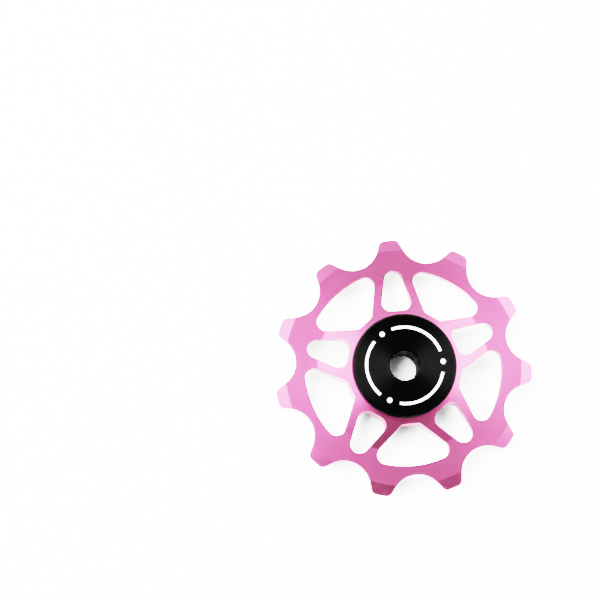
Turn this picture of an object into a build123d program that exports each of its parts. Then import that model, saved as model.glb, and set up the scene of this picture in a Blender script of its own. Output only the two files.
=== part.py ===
from build123d import *
import os
from math import atan2, cos, radians, sin, tan

# Derailleur jockey wheel, lying flat: the axle bore runs along Z and the wheel's middle plane is Z = 0.
# One tooth and one narrow pocket point along +Y. Lengths are millimetres, angles are degrees.

# Chain and teeth
CHAIN_PITCH = 12.7
ROLLER_DIAMETER = 7.75
ROOT_CLEARANCE = 0.09
TOOTH_COUNT = 11
TOOTH_HEIGHT = 3.81
SEAT_RADIUS = 4.6
FLANK_ANGLE = 22.4
TIP_CORNER_RADIUS = 1.0

# Turned section of the wheel
RING_THICKNESS = 2.0
TIP_THICKNESS = 0.85
TIP_FACET_WIDTH = 1.94
RING_FACE_WIDTH = 3.73
HUB_FACE_WIDTH = 1.05
BEARING_LIP_WIDTH = 0.3
BEARING_LIP_HEIGHT = 0.6
SEAT_CHAMFER = 0.2

# Milled pockets and spokes
SPOKE_PAIRS = 5
SPOKE_WIDTH = 1.43
SPOKE_HUB_ANGLE = 20.9
SPOKE_RIM_ANGLE = 6.8
RIM_WIDTH = 1.5
NARROW_POCKET_HUB_WALL = 1.66
NARROW_POCKET_DROP = 0.12
NARROW_POCKET_CORNER = 1.57
WIDE_POCKET_HUB_WALL = 1.94
WIDE_POCKET_HUB_CORNER = 0.7
WIDE_POCKET_RIM_CORNER = 1.61

# Hybrid ball bearing
BEARING_BORE = 8.0
BEARING_DIAMETER = 16.0
BEARING_WIDTH = 5.0
RING_CHAMFER = 0.2
BALL_COUNT = 10
BALL_DIAMETER = 2.0
RACE_CONFORMITY = 0.515
RACE_DEPTH = 0.22
CAGE_THICKNESS = 1.0
CAGE_GRIP = 0.5
CAGE_SLOT_WIDTH = 0.7
CAGE_SLOT_DEPTH = 0.7
SEAL_THICKNESS = 0.4
SEAL_INSET = 0.25
SEAL_SEAT_DEPTH = 0.3
SEAL_GROOVE_DEPTH = 0.15
SEAL_BEAD_WIDTH = 0.45
SEAL_LIP_WIDTH = 0.3
SEAL_RECESS_DEPTH = 0.12

# Dust caps
AXLE_BORE = 5.1
CAP_FLANGE_THICKNESS = 0.95
CAP_OVERLAP = 0.95
CAP_RIM_ROUND = 0.5
CAP_BORE_ROUND = 0.35
CAP_SHOULDER_WIDTH = 0.9

# Fits and clearances
SEAT_CLEARANCE = 0.01
BALL_CLEARANCE = 0.02
CAGE_CLEARANCE = 0.06
CAGE_SEAL_CLEARANCE = 0.29
SEAL_LIP_CLEARANCE = 0.1
SEAL_GROOVE_CLEARANCE = 0.03
CAP_CLEARANCE = 0.25
SPIGOT_GAP = 0.1

# Radii and half widths that follow from those above
half_tooth_angle = 180 / TOOTH_COUNT
half_spoke_angle = 180 / SPOKE_PAIRS
pitch_radius = CHAIN_PITCH / 2 / sin(radians(half_tooth_angle))
root_radius = pitch_radius - ROLLER_DIAMETER / 2 - ROOT_CLEARANCE
tip_radius = root_radius + TOOTH_HEIGHT
facet_radius = tip_radius - TIP_FACET_WIDTH
cone_radius = root_radius - RING_FACE_WIDTH
rim_radius = root_radius - RIM_WIDTH
bearing_radius = BEARING_DIAMETER / 2
bearing_bore_radius = BEARING_BORE / 2
seat_radius = bearing_radius + SEAT_CLEARANCE
lip_radius = bearing_radius - BEARING_LIP_HEIGHT
hub_face_radius = bearing_radius + HUB_FACE_WIDTH
narrow_hub_distance = bearing_radius + NARROW_POCKET_HUB_WALL
wide_hub_distance = bearing_radius + WIDE_POCKET_HUB_WALL
half_bearing = BEARING_WIDTH / 2
half_hub = half_bearing + BEARING_LIP_WIDTH
half_ring = RING_THICKNESS / 2
half_tip = TIP_THICKNESS / 2

os.makedirs("parts", exist_ok=True)

# Tooth gap: a round roller seat between two straight flanks, open outwards along +Y
seat_centre = root_radius + SEAT_RADIUS
flank_lean = FLANK_ANGLE + half_tooth_angle
flank_foot_x = SEAT_RADIUS * cos(radians(flank_lean))
flank_foot_y = seat_centre - SEAT_RADIUS * sin(radians(flank_lean))
flank_top_y = tip_radius + SEAT_RADIUS
flank_top_x = flank_foot_x + (flank_top_y - flank_foot_y) * tan(radians(flank_lean))

with BuildSketch() as tooth_gap:
    with BuildLine():
        Polyline(
            (-flank_top_x, flank_top_y),
            (-flank_foot_x, flank_foot_y),
            (flank_foot_x, flank_foot_y),
            (flank_top_x, flank_top_y),
            close=True,
        )
    make_face()
    with Locations((0, seat_centre)):
        Circle(SEAT_RADIUS)

# Tooth outline: the tip circle, begun in a gap, less every gap, with its tip corners rounded
with BuildSketch() as tooth_outline:
    with PolarLocations(0, 1, start_angle=90 + half_tooth_angle):
        Circle(tip_radius)
    with PolarLocations(0, TOOTH_COUNT, start_angle=half_tooth_angle):
        add(tooth_gap.sketch, mode=Mode.SUBTRACT)
    fillet(tooth_outline.vertices().group_by(SortBy.DISTANCE)[-1], TIP_CORNER_RADIUS)

# Spokes: two lean together outwards, one on each side of a narrow pocket that points along +Y
spoke_hub_x = narrow_hub_distance * tan(radians(SPOKE_HUB_ANGLE))
spoke_rim_x = rim_radius * sin(radians(SPOKE_RIM_ANGLE))
spoke_rim_y = rim_radius * cos(radians(SPOKE_RIM_ANGLE))
spoke_lean = atan2(spoke_hub_x - spoke_rim_x, spoke_rim_y - narrow_hub_distance)
spoke_offset = spoke_hub_x * cos(spoke_lean) + narrow_hub_distance * sin(spoke_lean)
narrow_side_offset = spoke_offset - SPOKE_WIDTH / 2
wide_side_offset = spoke_offset + SPOKE_WIDTH / 2
wide_side_angle = radians(90 - half_spoke_angle) - spoke_lean


def narrow_half_width(height):
    """Half the narrow pocket's width at a distance from the axle along its own axis."""
    return (narrow_side_offset - height * sin(spoke_lean)) / cos(spoke_lean)


def wide_half_width(height):
    """Half the wide pocket's width at a distance from the axle along its own axis."""
    return (height * cos(wide_side_angle) - wide_side_offset) / sin(wide_side_angle)


# Narrow pocket: it tapers outwards and ends in a full round
narrow_top = rim_radius - NARROW_POCKET_DROP
round_radius = (narrow_side_offset - narrow_top * sin(spoke_lean)) / (1 - sin(spoke_lean))
round_centre = narrow_top - round_radius
round_start = round_centre + round_radius * sin(spoke_lean)

with BuildSketch() as narrow_pocket:
    with BuildLine():
        Polyline(
            (-narrow_half_width(narrow_hub_distance), narrow_hub_distance),
            (narrow_half_width(narrow_hub_distance), narrow_hub_distance),
            (narrow_half_width(round_start), round_start),
            (-narrow_half_width(round_start), round_start),
            close=True,
        )
    make_face()
    fillet(narrow_pocket.vertices().group_by(Axis.Y)[0], NARROW_POCKET_CORNER)
    with Locations((0, round_centre)):
        Circle(round_radius)

# Wide pocket: it opens outwards and ends on the rim's inner circle
with BuildSketch() as wide_pocket:
    with BuildLine():
        Polyline(
            (-wide_half_width(wide_hub_distance), wide_hub_distance),
            (wide_half_width(wide_hub_distance), wide_hub_distance),
            (wide_half_width(rim_radius), rim_radius),
            (-wide_half_width(rim_radius), rim_radius),
            close=True,
        )
    make_face()
    Circle(rim_radius, mode=Mode.INTERSECT)
    fillet(wide_pocket.vertices().group_by(Axis.Y)[0], WIDE_POCKET_HUB_CORNER)
    fillet(wide_pocket.vertices().group_by(Axis.Y)[-1], WIDE_POCKET_RIM_CORNER)

# Toothed wheel: turned blank with a coned web, then the teeth, then the pockets
with BuildPart() as toothed_wheel:
    with BuildSketch(Plane.XZ):
        with BuildLine():
            Polyline(
                (seat_radius, half_hub - SEAT_CHAMFER),
                (seat_radius + SEAT_CHAMFER, half_hub),
                (hub_face_radius, half_hub),
                (cone_radius, half_ring),
                (facet_radius, half_ring),
                (tip_radius, half_tip),
                (tip_radius, -half_tip),
                (facet_radius, -half_ring),
                (cone_radius, -half_ring),
                (hub_face_radius, -half_hub),
                (lip_radius, -half_hub),
                (lip_radius, -half_bearing),
                (seat_radius, -half_bearing),
                close=True,
            )
        make_face()
    revolve(axis=Axis.Z)
    extrude(tooth_outline.sketch, amount=half_hub, both=True, mode=Mode.INTERSECT)
    with BuildSketch():
        with PolarLocations(0, SPOKE_PAIRS):
            add(narrow_pocket.sketch)
        with PolarLocations(0, SPOKE_PAIRS, start_angle=half_spoke_angle):
            add(wide_pocket.sketch)
    extrude(amount=half_hub, both=True, mode=Mode.SUBTRACT)
toothed_wheel.part.label = "toothed_wheel"
export_step(toothed_wheel.part, "parts/toothed_wheel.step")

# Bearing: both races follow the balls' circle, halfway between the bore and the outside
ball_radius = BALL_DIAMETER / 2
ball_circle_radius = (bearing_bore_radius + bearing_radius) / 2
race_radius = RACE_CONFORMITY * BALL_DIAMETER
outer_race_bottom = ball_circle_radius + ball_radius + BALL_CLEARANCE
inner_race_bottom = ball_circle_radius - ball_radius - BALL_CLEARANCE
outer_land_radius = outer_race_bottom - RACE_DEPTH
inner_land_radius = inner_race_bottom + RACE_DEPTH
seal_seat_radius = outer_land_radius + SEAL_SEAT_DEPTH
seal_groove_radius = seal_seat_radius + SEAL_GROOVE_DEPTH
seal_outer_face = half_bearing - SEAL_INSET
seal_inner_face = seal_outer_face - SEAL_THICKNESS
seal_middle = (seal_inner_face + seal_outer_face) / 2

# Outer ring: ball race in the middle, and a seat with a snap groove for a seal on each side
with BuildPart() as bearing_outer_ring:
    with BuildSketch(Plane.XZ) as outer_ring_section:
        with Locations(((outer_land_radius + bearing_radius) / 2, 0)):
            Rectangle(bearing_radius - outer_land_radius, BEARING_WIDTH)
        chamfer(outer_ring_section.vertices().group_by(Axis.X)[-1], RING_CHAMFER)
        with Locations((outer_race_bottom - race_radius, 0)):
            Circle(race_radius, mode=Mode.SUBTRACT)
        for side in (1, -1):
            with Locations((outer_land_radius, side * (seal_inner_face + half_bearing) / 2)):
                Rectangle(2 * SEAL_SEAT_DEPTH, half_bearing - seal_inner_face, mode=Mode.SUBTRACT)
            with Locations((outer_land_radius, side * seal_middle)):
                Rectangle(2 * (SEAL_SEAT_DEPTH + SEAL_GROOVE_DEPTH), SEAL_THICKNESS, mode=Mode.SUBTRACT)
    revolve(axis=Axis.Z)
bearing_outer_ring.part.label = "bearing_outer_ring"
export_step(bearing_outer_ring.part, "parts/bearing_outer_ring.step")

# Inner ring: ball race outside, bore for the caps' spigots
with BuildPart() as bearing_inner_ring:
    with BuildSketch(Plane.XZ) as inner_ring_section:
        with Locations(((inner_land_radius + bearing_bore_radius) / 2, 0)):
            Rectangle(inner_land_radius - bearing_bore_radius, BEARING_WIDTH)
        chamfer(inner_ring_section.vertices().group_by(Axis.X)[0], RING_CHAMFER)
        with Locations((inner_race_bottom + race_radius, 0)):
            Circle(race_radius, mode=Mode.SUBTRACT)
    revolve(axis=Axis.Z)
bearing_inner_ring.part.label = "bearing_inner_ring"
export_step(bearing_inner_ring.part, "parts/bearing_inner_ring.step")

# Crown cage: a floor ring beside the rear seal, with pairs of prongs that close over each ball's middle
ball_pocket_radius = ball_radius + CAGE_CLEARANCE
cage_bottom = CAGE_SEAL_CLEARANCE - seal_inner_face

with BuildPart() as ball_cage:
    with BuildSketch(Plane.XY.offset(cage_bottom)):
        Circle(ball_circle_radius + CAGE_THICKNESS / 2)
        Circle(ball_circle_radius - CAGE_THICKNESS / 2, mode=Mode.SUBTRACT)
    extrude(amount=CAGE_GRIP - cage_bottom)
    with PolarLocations(ball_circle_radius, BALL_COUNT):
        Sphere(ball_pocket_radius, mode=Mode.SUBTRACT)
    with BuildSketch(Plane.XY.offset(CAGE_GRIP)):
        with PolarLocations(ball_circle_radius, BALL_COUNT, start_angle=180 / BALL_COUNT):
            Rectangle(2 * CAGE_THICKNESS, CAGE_SLOT_WIDTH)
    extrude(amount=-CAGE_SLOT_DEPTH, mode=Mode.SUBTRACT)
ball_cage.part.label = "ball_cage"
export_step(ball_cage.part, "parts/ball_cage.step")

# Ceramic balls, one in each pocket of the cage
for number in range(BALL_COUNT):
    with BuildPart() as ceramic_ball:
        with PolarLocations(ball_circle_radius, 1, start_angle=number * 360 / BALL_COUNT):
            Sphere(ball_radius)
    ceramic_ball.part.label = f"ceramic_ball_{number + 1}"
    export_step(ceramic_ball.part, f"parts/{ceramic_ball.part.label}.step")

# Seals: a bead in the outer ring's groove, a recessed web, and a lip that runs beside the inner ring
seal_bead_radius = seal_groove_radius - SEAL_GROOVE_CLEARANCE
seal_lip_radius = inner_land_radius + SEAL_LIP_CLEARANCE
web_outer_radius = seal_bead_radius - SEAL_BEAD_WIDTH
web_inner_radius = seal_lip_radius + SEAL_LIP_WIDTH
seal_web_face = seal_outer_face - SEAL_RECESS_DEPTH

for name, side in (("front_bearing_seal", 1), ("rear_bearing_seal", -1)):
    with BuildPart() as bearing_seal:
        with BuildSketch(Plane.XZ):
            with BuildLine():
                Polyline(
                    (seal_lip_radius, side * seal_inner_face),
                    (seal_bead_radius, side * seal_inner_face),
                    (seal_bead_radius, side * seal_outer_face),
                    (web_outer_radius, side * seal_outer_face),
                    (web_outer_radius, side * seal_web_face),
                    (web_inner_radius, side * seal_web_face),
                    (web_inner_radius, side * seal_outer_face),
                    (seal_lip_radius, side * seal_outer_face),
                    close=True,
                )
            make_face()
        revolve(axis=Axis.Z)
    bearing_seal.part.label = name
    export_step(bearing_seal.part, f"parts/{name}.step")

# Dust caps: a flange over the hub, a shoulder against the inner ring and a spigot inside it
bore_radius = AXLE_BORE / 2
cap_radius = bearing_radius + CAP_OVERLAP
cap_underside = half_hub + CAP_CLEARANCE
cap_face = cap_underside + CAP_FLANGE_THICKNESS
shoulder_radius = bearing_bore_radius + CAP_SHOULDER_WIDTH
spigot_radius = bearing_bore_radius - SEAT_CLEARANCE
spigot_end = SPIGOT_GAP / 2

for name, side in (("front_dust_cap", 1), ("rear_dust_cap", -1)):
    with BuildPart() as dust_cap:
        with BuildSketch(Plane.XZ) as cap_section:
            with BuildLine():
                Polyline(
                    (bore_radius, side * spigot_end),
                    (spigot_radius, side * spigot_end),
                    (spigot_radius, side * half_bearing),
                    (shoulder_radius, side * half_bearing),
                    (shoulder_radius, side * cap_underside),
                    (cap_radius, side * cap_underside),
                    (cap_radius, side * cap_face),
                    (bore_radius, side * cap_face),
                    close=True,
                )
            make_face()
            face_row = -1 if side > 0 else 0
            fillet(cap_section.vertices().group_by(Axis.Y)[face_row].sort_by(Axis.X)[0], CAP_BORE_ROUND)
            fillet(cap_section.vertices().group_by(Axis.Y)[face_row].sort_by(Axis.X)[-1], CAP_RIM_ROUND)
        revolve(axis=Axis.Z)
    dust_cap.part.label = name
    export_step(dust_cap.part, f"parts/{name}.step")
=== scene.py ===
from math import cos, pi, radians, sin, tan
from typing import NamedTuple

import bpy
from bpy.props import FloatProperty, FloatVectorProperty, PointerProperty
from mathutils import Matrix, Vector


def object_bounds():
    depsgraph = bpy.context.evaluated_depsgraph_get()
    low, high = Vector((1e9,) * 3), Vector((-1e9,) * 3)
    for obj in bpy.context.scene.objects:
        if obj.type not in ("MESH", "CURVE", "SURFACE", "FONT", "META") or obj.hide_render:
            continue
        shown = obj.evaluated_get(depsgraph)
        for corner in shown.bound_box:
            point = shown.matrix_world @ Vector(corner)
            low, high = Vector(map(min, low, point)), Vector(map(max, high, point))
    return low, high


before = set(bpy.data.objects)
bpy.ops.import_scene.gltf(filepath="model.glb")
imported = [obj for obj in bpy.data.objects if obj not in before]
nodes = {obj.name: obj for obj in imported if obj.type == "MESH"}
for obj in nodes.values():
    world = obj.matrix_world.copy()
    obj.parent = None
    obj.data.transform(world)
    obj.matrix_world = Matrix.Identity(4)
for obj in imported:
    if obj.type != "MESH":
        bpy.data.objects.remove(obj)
cad_low, cad_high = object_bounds()

bl_info = {
    "name": "Jockey wheel finish",
    "version": (1, 0, 0),
    "blender": (4, 5, 0),
    "location": "3D View > Sidebar > Jockey wheel",
    "description": "Gives a derailleur jockey wheel its anodised and moulded finishes, and a studio",
    "category": "Object",
}

PICTURE_SIZE = 600
SENSOR_WIDTH = 36.0

CAPS = ("front_dust_cap", "rear_dust_cap")
RINGS = ("bearing_outer_ring", "bearing_inner_ring")
SEALS = ("front_bearing_seal", "rear_bearing_seal")
BALLS = sorted(name for name in nodes if name.startswith("ceramic_ball_"))


class Softbox(NamedTuple):
    """A softbox's place and size in degrees as the wheel sees them, and how it shines."""
    name: str
    across: float
    rise: float
    width: float
    height: float
    share: float
    in_metal: bool


SOFTBOXES = (
    Softbox("right_softbox", across=43, rise=14, width=42, height=44, share=1.0, in_metal=True),
    Softbox("left_softbox", across=-41, rise=5, width=38, height=54, share=1.0, in_metal=True),
    Softbox("floor_softbox", across=-28, rise=17, width=46, height=46, share=1.55, in_metal=False),
)


# Settings of the finishes and the stage

class WheelFinish(bpy.types.PropertyGroup):
    dye: FloatVectorProperty(
        name="Dye", description="Colour of the anodised film on the wheel",
        subtype="COLOR", size=3, min=0, max=1, default=(0.65, 0.094, 0.268))
    # Paler than the dye: partly a thinner film on the broken edges, partly a painted highlight along them
    edge_dye_and_highlight: FloatVectorProperty(
        name="Edge dye", description="Colour of the thinner film on broken edges",
        subtype="COLOR", size=3, min=0, max=1, default=(0.76, 0.19, 0.38))
    roughness: FloatProperty(
        name="Roughness", description="Roughness of the satin etch under the dye",
        subtype="FACTOR", min=0, max=1, default=0.34)
    stretch: FloatProperty(
        name="Stretch", description="How far the lathe marks stretch the highlights",
        subtype="FACTOR", min=0, max=1, default=0.65)
    coat: FloatProperty(
        name="Coat", description="Share of the clear sealed layer over the dye",
        subtype="FACTOR", min=0, max=1, default=0.85)
    coat_roughness: FloatProperty(
        name="Coat roughness", description="Roughness of the clear sealed layer",
        subtype="FACTOR", min=0, max=1, default=0.7)
    edge_break: FloatProperty(
        name="Edge break", description="Width of the chamfer on milled edges",
        subtype="DISTANCE", unit="LENGTH", min=0, default=0.00003)
    mark_pitch: FloatProperty(
        name="Mark pitch", description="Distance between the lathe tool's marks",
        subtype="DISTANCE", unit="LENGTH", min=1e-6, default=0.00014)
    mark_depth: FloatProperty(
        name="Mark depth", description="Depth of the lathe tool's marks",
        subtype="DISTANCE", unit="LENGTH", min=0, default=6e-7)


class CapFinish(bpy.types.PropertyGroup):
    black: FloatVectorProperty(
        name="Black", description="Colour of the black film on the dust caps",
        subtype="COLOR", size=3, min=0, max=1, default=(0.0015, 0.0018, 0.0016))
    ink: FloatVectorProperty(
        name="Ink", description="Colour of the printed marks",
        subtype="COLOR", size=3, min=0, max=1, default=(0.86, 0.86, 0.85))
    roughness: FloatProperty(
        name="Roughness", description="Roughness of the black film",
        subtype="FACTOR", min=0, max=1, default=0.36)
    stretch: FloatProperty(
        name="Stretch", description="How far the lathe marks stretch the highlights",
        subtype="FACTOR", min=0, max=1, default=0.95)
    gloss: FloatProperty(
        name="Gloss", description="Strength of the black film's highlights",
        subtype="FACTOR", min=0, max=1, default=0.12)
    arc_radius: FloatProperty(
        name="Arc radius", description="Distance from the axle to the middle of the printed arcs",
        subtype="DISTANCE", unit="LENGTH", min=0, default=0.0066)
    arc_width: FloatProperty(
        name="Arc width", description="Width of the printed arcs",
        subtype="DISTANCE", unit="LENGTH", min=0, default=0.0005)
    arc_gap: FloatProperty(
        name="Arc gap", description="Angle from the middle of a gap to the end of the next arc",
        subtype="ANGLE", unit="ROTATION", min=0, default=radians(16))
    dot_radius: FloatProperty(
        name="Dot radius", description="Radius of the dot in each gap",
        subtype="DISTANCE", unit="LENGTH", min=0, default=0.00045)
    mark_pitch: FloatProperty(
        name="Mark pitch", description="Distance between the lathe tool's marks",
        subtype="DISTANCE", unit="LENGTH", min=1e-6, default=0.0001)
    mark_depth: FloatProperty(
        name="Mark depth", description="Depth of the lathe tool's marks",
        subtype="DISTANCE", unit="LENGTH", min=0, default=4e-7)


class BearingFinish(bpy.types.PropertyGroup):
    steel: FloatVectorProperty(
        name="Steel", description="Colour of the ground bearing rings",
        subtype="COLOR", size=3, min=0, max=1, default=(0.60, 0.60, 0.61))
    stain: FloatVectorProperty(
        name="Stain", description="Colour of the oil stains on the rings",
        subtype="COLOR", size=3, min=0, max=1, default=(0.42, 0.36, 0.28))
    ceramic: FloatVectorProperty(
        name="Ceramic", description="Colour of the polished balls",
        subtype="COLOR", size=3, min=0, max=1, default=(0.035, 0.035, 0.038))
    nylon: FloatVectorProperty(
        name="Nylon", description="Colour of the moulded cage",
        subtype="COLOR", size=3, min=0, max=1, default=(0.66, 0.60, 0.46))
    rubber: FloatVectorProperty(
        name="Rubber", description="Colour of the moulded seals",
        subtype="COLOR", size=3, min=0, max=1, default=(0.022, 0.022, 0.023))
    dust: FloatVectorProperty(
        name="Dust", description="Colour of the dust on the seals",
        subtype="COLOR", size=3, min=0, max=1, default=(0.16, 0.15, 0.14))


class StageSetup(bpy.types.PropertyGroup):
    tilt: FloatProperty(
        name="Camera tilt", description="Angle between the axle and the camera",
        subtype="ANGLE", unit="ROTATION", default=radians(8.6))
    heading: FloatProperty(
        name="Camera heading", description="Side of the wheel that the camera stands on",
        subtype="ANGLE", unit="ROTATION", default=radians(227.4))
    turn: FloatProperty(
        name="Picture turn", description="Direction on the floor that lies along the picture's lower edge",
        subtype="ANGLE", unit="ROTATION", default=radians(-6.55))
    distance: FloatProperty(
        name="Camera distance", description="Distance from the camera to the wheel's centre",
        subtype="DISTANCE", unit="LENGTH", default=0.42)
    lens: FloatProperty(
        name="Lens", description="Focal length",
        subtype="DISTANCE_CAMERA", unit="CAMERA", default=145.57)
    place: FloatVectorProperty(
        name="Place",
        description="Where the wheel's centre lies in the picture, in pixels from its upper left",
        size=2, default=(402.96, 368.07))
    floor: FloatVectorProperty(
        name="Floor", description="Colour of the floor",
        subtype="COLOR", size=3, min=0, max=1, default=(0.92, 0.92, 0.92))
    paper: FloatVectorProperty(
        name="Paper", description="Colour of the fibres in the floor's paper",
        subtype="COLOR", size=3, min=0, max=1, default=(0.8, 0.8, 0.8))
    floor_gain: FloatProperty(
        name="Floor gain", description="How much brighter the picture shows the floor than it is",
        min=0, default=3.1)
    floor_sheen: FloatProperty(
        name="Floor sheen", description="How much brighter metal shows the floor than it is",
        min=0, default=2.8)
    softbox: FloatProperty(
        name="Softboxes", description="Brightness of the softboxes", min=0, default=6.4)
    room: FloatProperty(
        name="Room", description="Brightness of the room over the wheel", min=0, default=0.93)


# Helpers for node trees

def place_node(tree, kind, inputs=None, **settings):
    """Adds a node, sets it up, and links or fills the inputs that are named."""
    made = tree.nodes.new(kind)
    for name, value in settings.items():
        setattr(made, name, value)
    for name, value in (inputs or {}).items():
        fill_socket(tree, made.inputs[name], value)
    return made


def fill_socket(tree, socket, value):
    """Links another node's output to a socket, or gives the socket a plain value."""
    if isinstance(value, bpy.types.NodeSocket):
        tree.links.new(value, socket)
    else:
        socket.default_value = value


def calculate(tree, operation, *values):
    """Adds a Math node on sockets or numbers and gives its result."""
    return place_node(tree, "ShaderNodeMath", dict(enumerate(values)), operation=operation).outputs[0]


def steer(tree, operation, *values, result="Vector"):
    """Adds a Vector Math node on sockets or vectors and gives its result."""
    made = place_node(tree, "ShaderNodeVectorMath", dict(enumerate(values)), operation=operation)
    return made.outputs[result]


def resize(tree, vector, factor):
    """Adds a Vector Math node that scales a vector and gives the result."""
    made = place_node(tree, "ShaderNodeVectorMath", {0: vector, "Scale": factor}, operation="SCALE")
    return made.outputs["Vector"]


def spread(tree, value, low, high):
    """Maps a value from 0 to 1 onto a new range."""
    made = place_node(tree, "ShaderNodeMapRange", {"Value": value, "To Min": low, "To Max": high})
    return made.outputs["Result"]


def blend_colours(tree, amount, first, second):
    """Mixes two colours by an amount."""
    made = place_node(tree, "ShaderNodeMix", data_type="RGBA")
    amount_input, first_input, second_input = made.inputs[0], made.inputs[6], made.inputs[7]
    fill_socket(tree, amount_input, amount)
    fill_socket(tree, first_input, first)
    fill_socket(tree, second_input, second)
    return made.outputs[2]


def object_place(tree):
    """Gives the point on the surface, in the object's own metres."""
    return place_node(tree, "ShaderNodeTexCoord").outputs["Object"]


def noise_of_size(tree, place, size, **settings):
    """Gives a noise field whose lumps have a real size."""
    made = place_node(tree, "ShaderNodeTexNoise", {
        "Vector": place, "Scale": calculate(tree, "DIVIDE", 1.0, size), **settings})
    return made.outputs["Fac"]


def new_group(name, inputs, outputs):
    """Starts a shader node group with named sockets and gives its tree and the sockets at both ends."""
    tree = bpy.data.node_groups.new(name, "ShaderNodeTree")
    for label, kind, value in inputs:
        socket = tree.interface.new_socket(label, in_out="INPUT", socket_type=kind)
        socket.default_value = value
    for label, kind in outputs:
        tree.interface.new_socket(label, in_out="OUTPUT", socket_type=kind)
    given = tree.nodes.new("NodeGroupInput").outputs
    return tree, given, tree.nodes.new("NodeGroupOutput").inputs


def shared_group(name):
    """Gives a shared effect, built the first time that a material asks for it."""
    return bpy.data.node_groups.get(name) or SHARED_EFFECTS[name](name)


def use_group(tree, name, **values):
    """Places a shared effect in a material with its own values."""
    made = place_node(tree, "ShaderNodeGroup", node_tree=shared_group(name))
    for label, value in values.items():
        fill_socket(tree, made.inputs[label.replace("_", " ").capitalize()], value)
    return made.outputs


# Effects that several materials share

def build_lathe_marks(name):
    """Rings left by a lathe tool about the axle: fine lines that waver a little round the turn."""
    line_scale, line_detail = 1.0, 2.0
    band_scale, band_detail = 0.08, 1.0
    contrast = 0.6
    tree, given, out = new_group(
        name,
        [("Pitch", "NodeSocketFloat", 0.0001), ("Waver", "NodeSocketFloat", 1.5)],
        [("Height", "NodeSocketFloat"), ("Band", "NodeSocketFloat")])
    across = steer(tree, "MULTIPLY", object_place(tree), (1, 1, 0))
    lines = calculate(tree, "DIVIDE", steer(tree, "LENGTH", across, result="Value"), given["Pitch"])
    turn = place_node(tree, "ShaderNodeSeparateXYZ", {
        0: resize(tree, steer(tree, "NORMALIZE", across), given["Waver"])}).outputs
    for label, scale, detail in (("Height", line_scale, line_detail), ("Band", band_scale, band_detail)):
        ring = place_node(tree, "ShaderNodeCombineXYZ", {
            "X": calculate(tree, "MULTIPLY", lines, scale), "Y": turn["X"], "Z": turn["Y"]})
        noise = place_node(tree, "ShaderNodeTexNoise", {
            "Vector": ring.outputs[0], "Scale": 1.0, "Detail": detail, "Roughness": contrast})
        tree.links.new(noise.outputs["Fac"], out[label])
    return tree


def build_anodised_film(name):
    """Dyed film on etched metal: a fine grain, and clouds where the dye took a little more or less."""
    grain_share, clouds_share = 0.6, 0.4
    contrast = 0.55
    noise_middle = 0.5
    tree, given, out = new_group(
        name,
        [("Dye", "NodeSocketColor", (0.5, 0.5, 0.5, 1)), ("Grain", "NodeSocketFloat", 0.00006),
         ("Clouds", "NodeSocketFloat", 0.006), ("Depth", "NodeSocketFloat", 0.1)],
        [("Colour", "NodeSocketColor"), ("Grain", "NodeSocketFloat"), ("Clouds", "NodeSocketFloat")])
    place = object_place(tree)
    grain = noise_of_size(tree, place, given["Grain"], Detail=3.0, Roughness=contrast)
    clouds = noise_of_size(tree, place, given["Clouds"], Detail=2.0, Roughness=contrast)
    mixed = calculate(tree, "ADD", calculate(tree, "MULTIPLY", grain, grain_share),
                      calculate(tree, "MULTIPLY", clouds, clouds_share))
    shift = calculate(tree, "MULTIPLY", calculate(tree, "SUBTRACT", mixed, noise_middle), given["Depth"])
    shade = place_node(tree, "ShaderNodeHueSaturation", {
        "Saturation": calculate(tree, "SUBTRACT", 1.0, shift),
        "Value": calculate(tree, "ADD", 1.0, shift), "Color": given["Dye"]})
    for value, label in ((shade.outputs["Color"], "Colour"), (grain, "Grain"), (clouds, "Clouds")):
        tree.links.new(value, out[label])
    return tree


def build_handling_marks(name):
    """Faint smears from handling, as a mask."""
    smear_start, smear_full = 0.48, 0.72
    stretch = (1.0, 0.45, 1.0)
    tree, given, out = new_group(
        name, [("Smear size", "NodeSocketFloat", 0.004)], [("Smears", "NodeSocketFloat")])
    stretched = steer(tree, "MULTIPLY", object_place(tree), stretch)
    noise = noise_of_size(tree, stretched, given["Smear size"], Detail=4.0)
    ramp = place_node(tree, "ShaderNodeMapRange", {
        "Value": noise, "From Min": smear_start, "From Max": smear_full}, interpolation_type="SMOOTHSTEP")
    tree.links.new(ramp.outputs["Result"], out["Smears"])
    return tree


def build_moulded_skin(name):
    """Skin of a moulded piece: a fine orange peel and slow flow lines."""
    darkest, lightest = 0.85, 1.15
    tree, given, out = new_group(
        name,
        [("Colour", "NodeSocketColor", (0.5, 0.5, 0.5, 1)), ("Peel", "NodeSocketFloat", 0.00008),
         ("Flow", "NodeSocketFloat", 0.002)],
        [("Colour", "NodeSocketColor"), ("Height", "NodeSocketFloat"), ("Flow", "NodeSocketFloat")])
    place = object_place(tree)
    peel = place_node(tree, "ShaderNodeTexVoronoi", {
        "Vector": place, "Scale": calculate(tree, "DIVIDE", 1.0, given["Peel"])}, feature="SMOOTH_F1")
    flow = noise_of_size(tree, place, given["Flow"], Detail=2.0, Distortion=1.5)
    shade = place_node(tree, "ShaderNodeHueSaturation", {
        "Value": spread(tree, flow, darkest, lightest), "Color": given["Colour"]})
    for value, label in ((shade.outputs["Color"], "Colour"), (peel.outputs["Distance"], "Height"),
                         (flow, "Flow")):
        tree.links.new(value, out[label])
    return tree


SHARED_EFFECTS = {
    "lathe_marks": build_lathe_marks,
    "anodised_film": build_anodised_film,
    "handling_marks": build_handling_marks,
    "moulded_skin": build_moulded_skin,
}


# Materials and edges

def new_material(name, **constants):
    """Starts a material, sets its shader's plain values, and gives it with its tree and shader."""
    material = bpy.data.materials.new(name)
    material.use_nodes = True
    tree = material.node_tree
    shader = tree.nodes["Principled BSDF"]
    for label, value in constants.items():
        shader.inputs[label.replace("_", " ")].default_value = value
    return material, tree, shader


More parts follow.
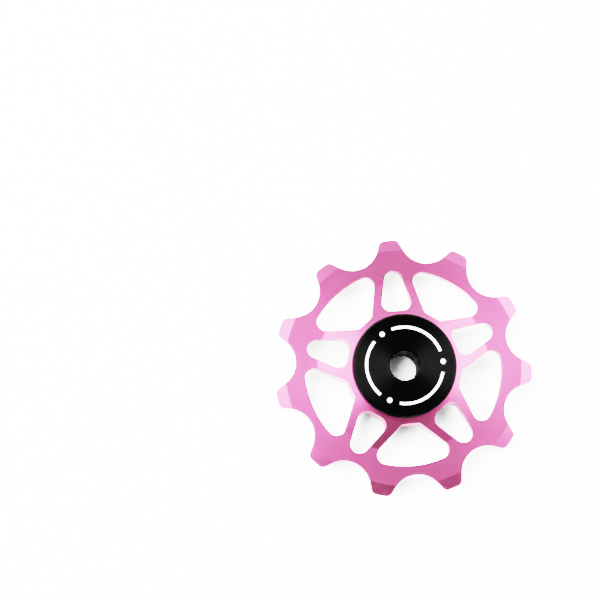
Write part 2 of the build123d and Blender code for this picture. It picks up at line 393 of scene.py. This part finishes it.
def turned_tangent(tree, shader):
    """Lays the shader's wide highlight across the lathe marks, which run round the axle."""
    around = place_node(
        tree, "ShaderNodeVectorTransform",
        {"Vector": steer(tree, "CROSS_PRODUCT", (0, 0, 1), object_place(tree))},
        vector_type="VECTOR", convert_from="OBJECT", convert_to="WORLD")
    facing = place_node(tree, "ShaderNodeNewGeometry").outputs["Normal"]
    across = steer(tree, "CROSS_PRODUCT", around.outputs["Vector"], facing)
    tree.links.new(steer(tree, "NORMALIZE", across), shader.inputs["Tangent"])


def raise_marks(tree, shader, height, depth):
    """Lets a height field press into the shader's normal by a real depth."""
    bump = place_node(tree, "ShaderNodeBump", {"Height": height, "Strength": 1.0, "Distance": depth})
    tree.links.new(bump.outputs["Normal"], shader.inputs["Normal"])


def anodised_metal(name, dye, finish, **constants):
    """Turned aluminium under a dyed film."""
    dye_shift = 0.12
    rough_shift = 0.03
    material, tree, shader = new_material(name, Anisotropic=finish.stretch, **constants)
    film = use_group(tree, "anodised_film", dye=(*dye, 1), depth=dye_shift)
    marks = use_group(tree, "lathe_marks", pitch=finish.mark_pitch)
    hands = use_group(tree, "handling_marks")
    tree.links.new(film["Colour"], shader.inputs["Base Color"])
    rough = calculate(tree, "ADD", spread(tree, film["Grain"], -rough_shift, rough_shift),
                      spread(tree, marks["Band"], -rough_shift, rough_shift))
    rough = calculate(tree, "ADD", rough, spread(tree, hands["Smears"], 0.0, rough_shift))
    tree.links.new(calculate(tree, "ADD", rough, finish.roughness), shader.inputs["Roughness"])
    raise_marks(tree, shader, marks["Height"], finish.mark_depth)
    turned_tangent(tree, shader)
    return material


def length_of(tree, first, second):
    """Gives the length of a vector from its two parts."""
    squares = [calculate(tree, "MULTIPLY", part, part) for part in (first, second)]
    return calculate(tree, "SQRT", calculate(tree, "ADD", *squares))


def print_arcs(material, finish):
    """Prints three plain arcs, with a dot in each gap, on a cap."""
    arc_count = 3
    whole_turn = 2 * pi
    tree = material.node_tree
    shader = tree.nodes["Principled BSDF"]
    x, y, _ = place_node(tree, "ShaderNodeSeparateXYZ", {0: object_place(tree)}).outputs
    reach = length_of(tree, x, y)
    heading = calculate(tree, "ADD", calculate(tree, "ARCTAN2", y, x), whole_turn)
    from_gap = calculate(tree, "PINGPONG", heading, whole_turn / arc_count / 2)
    beside_dot = calculate(tree, "MULTIPLY", reach, calculate(tree, "SINE", from_gap))
    beyond_dot = calculate(
        tree, "SUBTRACT", calculate(tree, "MULTIPLY", reach, calculate(tree, "COSINE", from_gap)),
        finish.arc_radius)
    dot = calculate(tree, "LESS_THAN", length_of(tree, beside_dot, beyond_dot), finish.dot_radius)
    off_line = calculate(tree, "ABSOLUTE", calculate(tree, "SUBTRACT", reach, finish.arc_radius))
    arc = calculate(tree, "MULTIPLY", calculate(tree, "LESS_THAN", off_line, finish.arc_width / 2),
                    calculate(tree, "GREATER_THAN", from_gap, finish.arc_gap))
    colour = shader.inputs["Base Color"].links[0].from_socket
    inked = blend_colours(tree, calculate(tree, "MAXIMUM", arc, dot), colour, (*finish.ink, 1))
    tree.links.new(inked, shader.inputs["Base Color"])


def crisp_creases():
    """Geometry nodes that shade curved walls smooth and keep turned and milled creases sharp."""
    crease_angle = radians(14)
    made = bpy.data.node_groups.new("crisp_creases", "GeometryNodeTree")
    for direction in ("INPUT", "OUTPUT"):
        made.interface.new_socket("Geometry", in_out=direction, socket_type="NodeSocketGeometry")
    angle = made.nodes.new("GeometryNodeInputMeshEdgeAngle").outputs["Unsigned Angle"]
    sharp = place_node(made, "FunctionNodeCompare", {0: angle, 1: crease_angle}, operation="GREATER_THAN")
    normal = place_node(made, "GeometryNodeSetMeshNormal", {
        "Mesh": made.nodes.new("NodeGroupInput").outputs["Geometry"], "Remove Custom": True,
        "Edge Sharpness": sharp.outputs["Result"]}, mode="SHARPNESS")
    made.links.new(normal.outputs["Mesh"], made.nodes.new("NodeGroupOutput").inputs["Geometry"])
    return made


def break_edges(piece, width, edge_slot):
    """Chamfers a piece's sharp edges and gives the chamfers the material in that slot."""
    weld_distance = 2e-6
    flat_angle = radians(0.6)
    sharp_angle = radians(30)
    weld = piece.modifiers.new("weld", "WELD")
    weld.merge_threshold = weld_distance
    # The CAD mesh is all triangles, so flat faces are made whole before their edges are found
    flat = piece.modifiers.new("flat_faces", "DECIMATE")
    flat.decimate_type = "DISSOLVE"
    flat.angle_limit = flat_angle
    chamfer = piece.modifiers.new("edge_break", "BEVEL")
    chamfer.width = width
    chamfer.segments = 1
    chamfer.limit_method = "ANGLE"
    chamfer.angle_limit = sharp_angle
    chamfer.use_clamp_overlap = False
    chamfer.material = edge_slot
    crease = piece.modifiers.new("crisp_creases", "NODES")
    crease.node_group = crisp_creases()


def dress(names, *materials):
    """Gives CAD pieces their materials."""
    for name in names:
        slots = nodes[name].data.materials
        slots.clear()
        for material in materials:
            slots.append(material)


# Pieces

class JOCKEY_OT_toothed_wheel(bpy.types.Operator):
    """Gives the toothed wheel its pink anodised, turned finish and breaks its milled edges"""
    bl_idname = "jockey.toothed_wheel"
    bl_label = "Toothed wheel"

    def execute(self, context):
        finish = context.scene.jockey_wheel_finish
        film = {"Metallic": 1.0, "Coat_Weight": finish.coat, "Coat_Roughness": finish.coat_roughness}
        faces = anodised_metal("pink_anodised", finish.dye, finish, **film)
        # The chamfers get the paler edge colour, a painted highlight along the broken edges as well as a
        # thinner film
        edges = anodised_metal("pink_edge_break_and_highlight", finish.edge_dye_and_highlight, finish, **film)
        dress(["toothed_wheel"], faces, edges)
        break_edges(nodes["toothed_wheel"], finish.edge_break, edge_slot=1)
        return {"FINISHED"}


class JOCKEY_OT_dust_caps(bpy.types.Operator):
    """Gives both dust caps their black, turned finish and prints the front one"""
    bl_idname = "jockey.dust_caps"
    bl_label = "Dust caps"

    def execute(self, context):
        finish = context.scene.jockey_cap_finish
        for name in CAPS:
            black = anodised_metal(f"{name}_black", finish.black, finish, Specular_IOR_Level=finish.gloss)
            dress([name], black)
        print_arcs(nodes["front_dust_cap"].data.materials[0], finish)
        return {"FINISHED"}


class JOCKEY_OT_bearing_rings(bpy.types.Operator):
    """Gives the bearing's rings their ground steel finish"""
    bl_idname = "jockey.bearing_rings"
    bl_label = "Bearing rings"

    def execute(self, context):
        finish = context.scene.jockey_bearing_finish
        mark_pitch, mark_depth = 0.00005, 3e-7
        stain_size, stain_share = 0.002, 0.25
        smoothest, roughest = 0.16, 0.3
        steel, tree, shader = new_material("ground_steel", Metallic=1.0, Anisotropic=0.5)
        marks = use_group(tree, "lathe_marks", pitch=mark_pitch)
        hands = use_group(tree, "handling_marks", smear_size=stain_size)
        tint = blend_colours(tree, calculate(tree, "MULTIPLY", hands["Smears"], stain_share),
                             (*finish.steel, 1), (*finish.stain, 1))
        tree.links.new(tint, shader.inputs["Base Color"])
        tree.links.new(spread(tree, marks["Band"], smoothest, roughest), shader.inputs["Roughness"])
        raise_marks(tree, shader, marks["Height"], mark_depth)
        turned_tangent(tree, shader)
        dress(RINGS, steel)
        return {"FINISHED"}


class JOCKEY_OT_ball_cage(bpy.types.Operator):
    """Gives the crown cage its moulded nylon finish"""
    bl_idname = "jockey.ball_cage"
    bl_label = "Ball cage"

    def execute(self, context):
        finish = context.scene.jockey_bearing_finish
        peel_depth = 4e-6
        smoothest, roughest = 0.38, 0.55
        nylon, tree, shader = new_material("moulded_nylon", Subsurface_Weight=0.2, Subsurface_Scale=0.0004)
        skin = use_group(tree, "moulded_skin", colour=(*finish.nylon, 1))
        tree.links.new(skin["Colour"], shader.inputs["Base Color"])
        tree.links.new(spread(tree, skin["Flow"], smoothest, roughest), shader.inputs["Roughness"])
        raise_marks(tree, shader, skin["Height"], peel_depth)
        dress(["ball_cage"], nylon)
        return {"FINISHED"}


class JOCKEY_OT_ceramic_balls(bpy.types.Operator):
    """Gives the balls their polished dark ceramic finish"""
    bl_idname = "jockey.ceramic_balls"
    bl_label = "Ceramic balls"

    def execute(self, context):
        finish = context.scene.jockey_bearing_finish
        grain_size, cloud_size, colour_shift = 0.00002, 0.0006, 0.5
        smoothest, roughest = 0.05, 0.12
        ceramic, tree, shader = new_material(
            "polished_ceramic", IOR=2.0, Coat_Weight=0.3, Coat_Roughness=0.05)
        film = use_group(tree, "anodised_film", dye=(*finish.ceramic, 1), grain=grain_size,
                         clouds=cloud_size, depth=colour_shift)
        tree.links.new(film["Colour"], shader.inputs["Base Color"])
        tree.links.new(spread(tree, film["Clouds"], smoothest, roughest), shader.inputs["Roughness"])
        dress(BALLS, ceramic)
        return {"FINISHED"}


class JOCKEY_OT_bearing_seals(bpy.types.Operator):
    """Gives the seals their matt moulded rubber finish"""
    bl_idname = "jockey.bearing_seals"
    bl_label = "Bearing seals"

    def execute(self, context):
        finish = context.scene.jockey_bearing_finish
        peel_size, peel_depth = 0.00005, 3e-6
        dust_size, dust_share = 0.003, 0.15
        smoothest, roughest = 0.6, 0.8
        rubber, tree, shader = new_material("moulded_rubber", Specular_IOR_Level=0.35)
        skin = use_group(tree, "moulded_skin", colour=(*finish.rubber, 1), peel=peel_size)
        hands = use_group(tree, "handling_marks", smear_size=dust_size)
        dusty = blend_colours(tree, calculate(tree, "MULTIPLY", hands["Smears"], dust_share),
                              skin["Colour"], (*finish.dust, 1))
        tree.links.new(dusty, shader.inputs["Base Color"])
        tree.links.new(spread(tree, skin["Flow"], smoothest, roughest), shader.inputs["Roughness"])
        raise_marks(tree, shader, skin["Height"], peel_depth)
        dress(SEALS, rubber)
        return {"FINISHED"}


# Stage

class JOCKEY_OT_stage(bpy.types.Operator):
    """Makes the floor, the light and the camera"""
    bl_idname = "jockey.stage"
    bl_label = "Stage"

    def execute(self, context):
        setup = context.scene.jockey_stage
        along = Matrix.Rotation(setup.turn, 3, "Z") @ Vector((1, 0, 0))
        upward = Matrix.Rotation(setup.turn, 3, "Z") @ Vector((0, 1, 0))
        lay_floor(setup, cad_low.z)
        for softbox in SOFTBOXES:
            hang_softbox(softbox, setup.softbox, along, upward)
        light_room(setup.room, along, upward)
        aim_camera(setup, upward)
        develop_picture(context.scene)
        return {"FINISHED"}


def lay_floor(setup, height):
    """Lays a pale floor under the wheel, which isn't there when seen from below."""
    reach = 3.0
    fibre_scale, fibre_share = 900.0, 0.04
    mesh = bpy.data.meshes.new("floor")
    corners = [(x * reach, y * reach, height) for x, y in ((-1, -1), (1, -1), (1, 1), (-1, 1))]
    mesh.from_pydata(corners, [], [(0, 1, 2, 3)])
    floor = bpy.data.objects.new("floor", mesh)
    bpy.context.scene.collection.objects.link(floor)
    material, tree, shader = new_material("pale_floor", Roughness=0.8, Specular_IOR_Level=0.0)
    fibres = place_node(tree, "ShaderNodeTexNoise", {
        "Vector": object_place(tree), "Scale": fibre_scale, "Detail": 3.0})
    tint = blend_colours(tree, calculate(tree, "MULTIPLY", fibres.outputs["Fac"], fibre_share),
                         (*setup.floor, 1), (*setup.paper, 1))
    # The floor is overexposed: the picture and the metal show it brighter than it lights the wheel
    path = place_node(tree, "ShaderNodeLightPath").outputs
    seen = calculate(tree, "MAXIMUM", spread(tree, path["Is Camera Ray"], 1.0, setup.floor_gain),
                     spread(tree, path["Is Glossy Ray"], 1.0, setup.floor_sheen))
    tree.links.new(resize(tree, tint, seen), shader.inputs["Base Color"])
    clear = place_node(tree, "ShaderNodeBsdfTransparent")
    below = place_node(tree, "ShaderNodeNewGeometry").outputs["Backfacing"]
    both = place_node(tree, "ShaderNodeMixShader", {0: below, 1: shader.outputs[0], 2: clear.outputs[0]})
    tree.links.new(both.outputs[0], tree.nodes["Material Output"].inputs["Surface"])
    mesh.materials.append(material)


def hang_softbox(softbox, brightness, along, upward):
    """Hangs a softbox over the wheel and turns it to the wheel's centre."""
    distance = 0.55
    watts_per_square_metre = 4
    lean = Vector((softbox.across, softbox.rise))
    flat = (along * lean.x + upward * lean.y) / lean.length
    direction = flat * sin(radians(lean.length)) + Vector((0, 0, cos(radians(lean.length))))
    light = bpy.data.lights.new(softbox.name, "AREA")
    light.shape = "RECTANGLE"
    light.size = 2 * distance * tan(radians(softbox.height / 2))
    light.size_y = 2 * distance * tan(radians(softbox.width / 2))
    light.energy = watts_per_square_metre * brightness * softbox.share * light.size * light.size_y
    lamp = bpy.data.objects.new(softbox.name, light)
    lamp.location = direction * distance
    lamp.rotation_mode = "QUATERNION"
    lamp.rotation_quaternion = (-direction).to_track_quat("-Z", "Y")
    lamp.visible_camera = False
    lamp.visible_glossy = softbox.in_metal
    bpy.context.scene.collection.objects.link(lamp)


def light_room(brightness, along, upward):
    """Fills the room with light, bright behind the picture's upper edge and dim before its lower one."""
    slant = 0.14
    dim_end, bright_end = -0.5, 0.7
    dim_share, bright_share = 0.06, 1.53
    world = bpy.data.worlds.new("studio_room")
    world.use_nodes = True
    tree = world.node_tree
    bright_side = (upward - slant * along).normalized()
    facing = place_node(tree, "ShaderNodeTexCoord").outputs["Generated"]
    rise = steer(tree, "DOT_PRODUCT", facing, tuple(bright_side), result="Value")
    glow = place_node(tree, "ShaderNodeMapRange", {
        "Value": rise, "From Min": dim_end, "From Max": bright_end,
        "To Min": dim_share * brightness, "To Max": bright_share * brightness})
    background = tree.nodes["Background"]
    background.inputs["Color"].default_value = (1, 1, 1, 1)
    tree.links.new(glow.outputs["Result"], background.inputs["Strength"])
    bpy.context.scene.world = world


def aim_camera(setup, upward):
    """Stands the camera over the wheel so that the wheel's centre falls on its place in the picture."""
    nearest, farthest = 0.01, 20
    lean = Matrix.Rotation(setup.heading, 3, "Z") @ Matrix.Rotation(setup.tilt, 3, "Y")
    towards = lean @ Vector((0, 0, 1))
    top = (upward - upward.dot(towards) * towards).normalized()
    facing = Matrix((top.cross(towards), top, towards)).transposed()
    pixels = setup.lens / SENSOR_WIDTH * PICTURE_SIZE
    half = PICTURE_SIZE / 2
    ray = Vector(((setup.place[0] - half) / pixels, (half - setup.place[1]) / pixels, -1)).normalized()
    swing = ray.rotation_difference(Vector((0, 0, -1))).to_matrix()
    lens = bpy.data.cameras.new("camera")
    lens.sensor_width = SENSOR_WIDTH
    lens.lens = setup.lens
    lens.clip_start = nearest
    lens.clip_end = farthest
    camera = bpy.data.objects.new("camera", lens)
    camera.matrix_world = Matrix.Translation(towards * setup.distance) @ (facing @ swing).to_4x4()
    bpy.context.scene.collection.objects.link(camera)
    bpy.context.scene.camera = camera


def develop_picture(scene):
    """Gives the picture the hard contrast and deep blacks of a product photo."""
    black_level = 0.006
    view = scene.view_settings
    view.view_transform = "Filmic"
    view.look = "Very High Contrast"
    view.use_curve_mapping = True
    view.curve_mapping.black_level = (black_level, black_level, black_level)
    view.curve_mapping.update()
    scene.cycles.caustics_reflective = False


# Sidebar and registration

OPERATORS = (
    JOCKEY_OT_toothed_wheel,
    JOCKEY_OT_dust_caps,
    JOCKEY_OT_bearing_rings,
    JOCKEY_OT_ball_cage,
    JOCKEY_OT_ceramic_balls,
    JOCKEY_OT_bearing_seals,
    JOCKEY_OT_stage,
)

SETTINGS = {
    "jockey_wheel_finish": WheelFinish,
    "jockey_cap_finish": CapFinish,
    "jockey_bearing_finish": BearingFinish,
    "jockey_stage": StageSetup,
}


class JOCKEY_PT_panel(bpy.types.Panel):
    """Lists the wheel's pieces and the sizes and colours of their finishes"""
    bl_label = "Jockey wheel"
    bl_idname = "JOCKEY_PT_panel"
    bl_space_type = "VIEW_3D"
    bl_region_type = "UI"
    bl_category = "Jockey wheel"

    def draw(self, context):
        for operator in OPERATORS:
            self.layout.operator(operator.bl_idname)
        for setting, group in SETTINGS.items():
            box = self.layout.box()
            for name in group.__annotations__:
                box.prop(getattr(context.scene, setting), name)


def register():
    for group in SETTINGS.values():
        bpy.utils.register_class(group)
    for operator in OPERATORS:
        bpy.utils.register_class(operator)
    bpy.utils.register_class(JOCKEY_PT_panel)
    for setting, group in SETTINGS.items():
        setattr(bpy.types.Scene, setting, PointerProperty(type=group))


def unregister():
    for setting in SETTINGS:
        delattr(bpy.types.Scene, setting)
    bpy.utils.unregister_class(JOCKEY_PT_panel)
    for operator in OPERATORS:
        bpy.utils.unregister_class(operator)
    for group in SETTINGS.values():
        bpy.utils.unregister_class(group)


def main():
    register()
    bpy.ops.jockey.toothed_wheel()
    bpy.ops.jockey.dust_caps()
    bpy.ops.jockey.bearing_rings()
    bpy.ops.jockey.ball_cage()
    bpy.ops.jockey.ceramic_balls()
    bpy.ops.jockey.bearing_seals()
    bpy.ops.jockey.stage()


if __name__ == "__main__":
    main()
